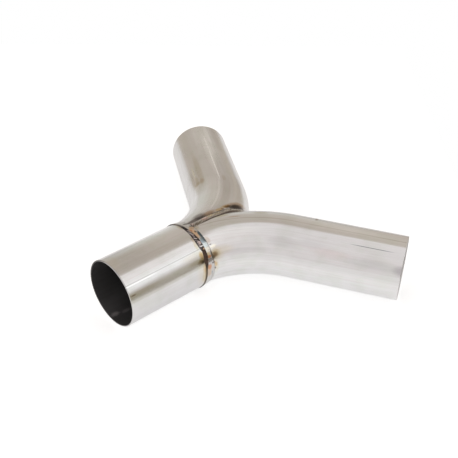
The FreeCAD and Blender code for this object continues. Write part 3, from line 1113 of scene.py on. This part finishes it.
EDGE_RIPPLES = round(2 * math.pi * SLEEVE_RADIUS / RIPPLE_PITCH)
print(EDGE_RIPPLES, "ripples fit round the collar")

# %% [markdown]
# The second pass lies over the sleeve's edge. It was laid by hand in short dabs, so both its edges
# wander a few millimetres as the torch moved. Random noise could shake them, but the photograph
# shows where they go, so each edge is a short list of angles and places with straight lines
# between. The pass burnt almost black, and silver dabs on the humps of its ripples are painted
# highlights.

# %% Colours of the rippled pass
edge_marks = [
    (BLACK_OXIDE, (89.4, 121.5), (3.2, 1.7), 0.9, 0.6),
    (ROSE_SILVER, (89.3, 127), (1.7, 2.8), 0.9, 0.8),
    (SILVER, (89.6, 133.2), (3.4, 1.1), 0.9, 0.6),
    (BROWN_OXIDE, (88.5, 152), (5.0, 14), 0.95, 0.8),
    (TAN, (90.3, 138.5), (1.4, 1.8), 0.8, 0.8),
    (ROSE, (90.4, 162), (1.2, 3), 0.7, 0.8),
    (OLIVE_OXIDE, (87.2, 192), (1.8, 26), 0.85, 0.3),
    (GREY_OXIDE, (87.0, 72), (2.6, 14), 0.6, 0.6),
]
EDGE_ROUGHNESS = 0.26
# The material takes one usual width of the pass for its ripples' slant.
EDGE_WIDTH = 4.6 * MM
GLINT_PER_METRE = 260.0
GLINT_STEP = (0.40, 0.56)
# A painted highlight's window within its ripple and across the pass, and where round the collar the
# highlights show.
DAB_ALONG, DAB_ACROSS, DAB_FRAY = (0.30, 0.72, 0.12), (0.16, 0.80, 0.12), 0.6
GLINTS_ON_TOP, GLINTS_BELOW, GLINTS_ASIDE = (96, 139, 4), (210, 400, 30), (80, 60)
SILVER_STEP = (-0.1, 0.15)


def edge_finish(recipe, u, share):
    """Black oxide with painted highlights, silver on the humps, where noise and the angle allow."""
    fray = recipe.fray(COLLAR_FRAY_PER_METRE)
    pair = collar_pair(recipe)
    turn = pair[1]
    step = ripple_share(u, EDGE_RIPPLES, share, EDGE_WIDTH)
    glint_noise = recipe.noise(recipe.point(), GLINT_PER_METRE, detail=1.0).rise(*GLINT_STEP)
    hump_glint = (step + fray * DAB_FRAY).band(*DAB_ALONG) * share.band(*DAB_ACROSS)
    where = turn.band(*GLINTS_ON_TOP).larger(turn.band(*GLINTS_BELOW)).larger(turn.rise(*GLINTS_ASIDE))
    glint_colour = recipe.mix(fray.rise(*SILVER_STEP), ROSE_SILVER, SILVER)
    # Painted highlights: silver dabs on the humps of the black pass.
    colour = recipe.mix(hump_glint * glint_noise * where, BLACK_OXIDE, glint_colour)
    return lay_ovals(recipe.mix, PAINT_RIM, colour, pair, fray, edge_marks), EDGE_ROUGHNESS


print("marks on the rippled pass:", len(edge_marks))

# %% Collar weld, rippled pass
EDGE_CROWN = 0.70 * MM
FOOT_SINK = 0.05 * MM
STATIONS_PER_RIPPLE = 20
# Angle round the collar in degrees, and x in millimetres.
FAR_EDGE = [(0, 89.3), (70, 88.4), (100, 89.4), (120, 91.2), (150, 91.5), (162, 90.4),
            (175, 88.2), (205, 87.8), (300, 89.2), (360, 89.3)]
NEAR_EDGE = [(0, 85.6), (96, 85.7), (126, 85.5), (134, 85.9), (142, 87.2), (149, 86.7),
             (156, 85.8), (166, 86.2), (205, 86.3), (280, 85.7), (360, 85.6)]


def edge_bead_points():
    """Arch from the sleeve's skin to the smooth pass, which ripples lower by up to their height.

    Its foot is the straight line between the same two edges, sunk a little.
    """
    back, foot = section_shares()
    turns = stations_round(EDGE_RIPPLES * STATIONS_PER_RIPPLE)
    start, stop = [np.interp(np.degrees(turns), *zip(*edge)) * MM for edge in (NEAR_EDGE, FAR_EDGE)]
    landing_share = np.maximum((stop - SLEEVE_END) / (WASH_TOE - SLEEVE_END), 0)
    climb = wash_back(turns, landing_share)[1] - SLEEVE_RADIUS
    width = stop - start
    step = ripple_step(np.sin, turns / (2 * np.pi), EDGE_RIPPLES, back, width)
    crown = EDGE_CROWN - RIPPLE_HEIGHT * (1 - scallops(step))
    radius = SLEEVE_RADIUS + climb * back + crown * arch(back)
    top = around_axis(start + width * back, radius, turns)
    under = around_axis(start + width * foot, SLEEVE_RADIUS + climb * foot - FOOT_SINK, turns)
    return np.concatenate([top, under], axis=1)


edge_weld = grid_piece("collar_edge_bead", edge_bead_points(), True,
                       weld_material("edge_weld", edge_finish))
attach(edge_weld, "root")
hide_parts("collar_edge_weld")

# %% [markdown]
# The seam weld fills the valley where the two branches are mitred together. It starts at the
# collar's toe, climbs over the crotch and comes back underneath. A tube along the mitre line would
# sink in at its start and stand off at the crotch, because the valley opens on the way. So the
# bead's feet are looked up on the skin at every station. The torch was held to the left branch's
# side: the bead leans that way, and its other slope is darker brown. The ripples' crests carry a
# painted highlight, and their valleys stay dark.


# %% The line of the mitre
def mitre_line(turn):
    """Where the middle plane cuts the skin, at an angle round the tube from the crotch.

    There the distance from the bend's pivot is the bend radius plus the tube radius times the
    angle's cosine, and the height is the tube radius times its sine. Returns the points, the way
    out of the valley, and the sine of the angle by which each skin climbs from its bottom.
    """
    offset = TUBE_RADIUS * np.cos(turn)
    height = TUBE_RADIUS * np.sin(turn)
    from_pivot = BEND_RADIUS + offset
    along = np.sqrt(from_pivot ** 2 - BEND_RADIUS ** 2)
    points = np.stack([BEND_START + along, 0 * turn, height], axis=-1)
    out = np.stack([offset * along / from_pivot, 0 * turn, height], axis=-1)
    out /= np.linalg.norm(out, axis=-1, keepdims=True)
    climb = offset * BEND_RADIUS / (from_pivot * TUBE_RADIUS)
    return points, out, climb


SEAM_STATIONS = 900
FINE_STATIONS = 4000


def seam_stations():
    """Angles evenly spaced by length from the collar's toe over the crotch to the toe below.

    The lengths between many fine stations are summed up and read backwards.
    """
    toe_offset = math.hypot(WASH_TOE - BEND_START, BEND_RADIUS) - BEND_RADIUS
    first = math.acos(toe_offset / TUBE_RADIUS)
    fine = np.linspace(first, -first, FINE_STATIONS)
    points = mitre_line(fine)[0]
    length = np.concatenate([[0], np.cumsum(np.linalg.norm(np.diff(points, axis=0), axis=1))])
    even = np.linspace(0, length[-1], SEAM_STATIONS)
    return np.interp(even, length, fine), even


seam_turn, seam_length = seam_stations()
seam_ripples = seam_length[-1] / RIPPLE_PITCH
print("the seam weld is", round(seam_length[-1] / MM, 1), "mm long, with", round(seam_ripples),
      "ripples")

# %% Colours of the seam weld
SEAM_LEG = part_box("branch_seam_weld")[1].y
seam_marks = [
    (ROSE_SILVER, (98.5, 2.0), (2.5, 2.2), 0.8, 0.8),
    (OLIVE_OXIDE, (103.5, -0.6), (5.5, 1.6), 0.75, 0.9),
    (ROSE, (114.0, 1.0), (4.0, 2.2), 0.9, 0.8),
    (PALE_ROSE, (114.5, 2.4), (3.6, 1.3), 0.85, 1.0),
    (STRAW, (121.5, 2.0), (4.2, 1.5), 0.85, 0.9),
    (OLD_GOLD, (130.0, 1.4), (6.0, 2.0), 0.8, 0.9),
    (OLIVE_OXIDE, (138.0, 1.4), (2.6, 1.2), 0.8, 0.8),
    (OLD_GOLD, (145.5, 2.2), (5.5, 2.0), 0.8, 0.9),
    (OLD_GOLD, (155.0, 2.4), (6.5, 1.6), 0.7, 1.0),
    # Darker brown along the bead's other slope.
    (BROWN_OXIDE, (120.0, -2.8), (14.0, 1.7), 0.85, 0.9),
    (BROWN_OXIDE, (143.0, -2.6), (16.0, 1.9), 0.80, 0.9),
    (BROWN_OXIDE, (158.0, 4.2), (12.0, 1.3), 0.85, 0.6),
    (BROWN_OXIDE, (128.0, 4.1), (22.0, 0.9), 0.85, 0.6),
    (BROWN_OXIDE, (104.0, 4.2), (10.0, 0.9), 0.85, 0.6),
    (BROWN_OXIDE, (97.6, 0.2), (0.8, 3.0), 0.5, 0.8),
]
SEAM_ROUGHNESS = 0.30
SEAM_FRAY_PER_METRE = 500.0
BURNT_PER_METRE = 210.0
BURNT_STEP = (0.38, 0.58)
# Within a ripple: how far from its middle the valley starts, and the window of the crest's painted
# highlight.
VALLEY_STEP, VALLEY_STRENGTH = (0.26, 0.44), 0.85
CREST_ALONG, CREST_ACROSS, CREST_STRENGTH = (0.3, 0.6, 0.12), (0.30, 0.75, 0.15), 0.5


def seam_finish(recipe, u, share):
    """Oxides by x and y, then burnt valleys and a painted highlight on the crests, by the place
    within a ripple.
    """
    fray = recipe.fray(SEAM_FRAY_PER_METRE)
    x, y, _ = recipe.apart(recipe.point())
    colour = lay_ovals(recipe.mix, PAINT_RIM, DULL_WELD, (x / MM, y / MM), fray, seam_marks)
    step = ripple_share(u, seam_ripples, share, 2 * SEAM_LEG) + fray * 0.5
    burnt = recipe.noise(recipe.point(), BURNT_PER_METRE, detail=2.0).rise(*BURNT_STEP)
    valley = abs(step - 0.5).rise(*VALLEY_STEP) * burnt
    colour = recipe.mix(valley * VALLEY_STRENGTH, colour, BROWN_OXIDE)
    # Painted highlight: silver along the middle of each ripple's crest.
    crest_highlight = step.band(*CREST_ALONG) * share.band(*CREST_ACROSS)
    return recipe.mix(crest_highlight * CREST_STRENGTH, colour, SILVER), SEAM_ROUGHNESS


print("marks on the seam weld:", len(seam_marks))

# %% Seam weld between the branches
SEAM_CROWN = 0.85 * MM
SEAM_END_CROWN = 0.3
SEAM_TAPER = 4 * MM
SEAM_LEAN = 0.8 * MM
LEAN_CLIMB = (0.2, 0.7)
SIDEWAYS = np.array([0.0, 1.0, 0.0])


def seam_bead_points():
    """Bead in the valley: an arch between two feet on the skins, with slanted crescent ripples.

    A foot lies aside by the weld's leg times the cosine of the skin's climb. The whole section
    leans further aside where the skins climb gently, and its arch is lower at the weld's ends.
    """
    place, out, climb = [part[:, None] for part in mitre_line(seam_turn)]
    back, foot = section_shares()
    half = SEAM_LEG * np.sqrt(1 - climb ** 2)
    lean = SEAM_LEAN * np.interp(climb, LEAN_CLIMB, (1, 0))

    def skin_at(aside):
        """How far out the skins lie at a distance aside, looked for from one leg below."""
        start = place - out * SEAM_LEG + SIDEWAYS * aside[..., None]
        return way_to_skin(start, np.broadcast_to(out, start.shape)) - SEAM_LEG

    def section(aside, height):
        """Points at a distance aside of the mitre line and a height out of the valley."""
        return place + out * height[..., None] + SIDEWAYS * aside[..., None]

    feet = skin_at(half * np.array([-1.0, 1.0]) + lean)
    slope = feet[:, :1] + (feet[:, 1:] - feet[:, :1]) * back
    u = (seam_length / seam_length[-1])[:, None]
    step = ripple_step(np.sin, u, seam_ripples, back, 2 * SEAM_LEG)
    from_end = np.minimum(seam_length, seam_length[-1] - seam_length)[:, None]
    crown = SEAM_CROWN * np.clip(SEAM_END_CROWN + from_end / SEAM_TAPER, 0, 1)
    crown = crown - RIPPLE_HEIGHT * (1 - scallops(step))
    top = section(half * (2 * back - 1) + lean, slope + crown * arch(back))
    foot_aside = half * (2 * foot - 1) + lean
    return np.concatenate([top, section(foot_aside, skin_at(foot_aside))], axis=1)


seam_weld = grid_piece("branch_seam_bead", seam_bead_points(), False,
                       weld_material("seam_weld", seam_finish))
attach(seam_weld, "root")
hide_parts("branch_seam_weld")

# %% [markdown]
# The dressed pipe has to keep the size of the CAD model, or it would no longer fit what it is
# joined to.
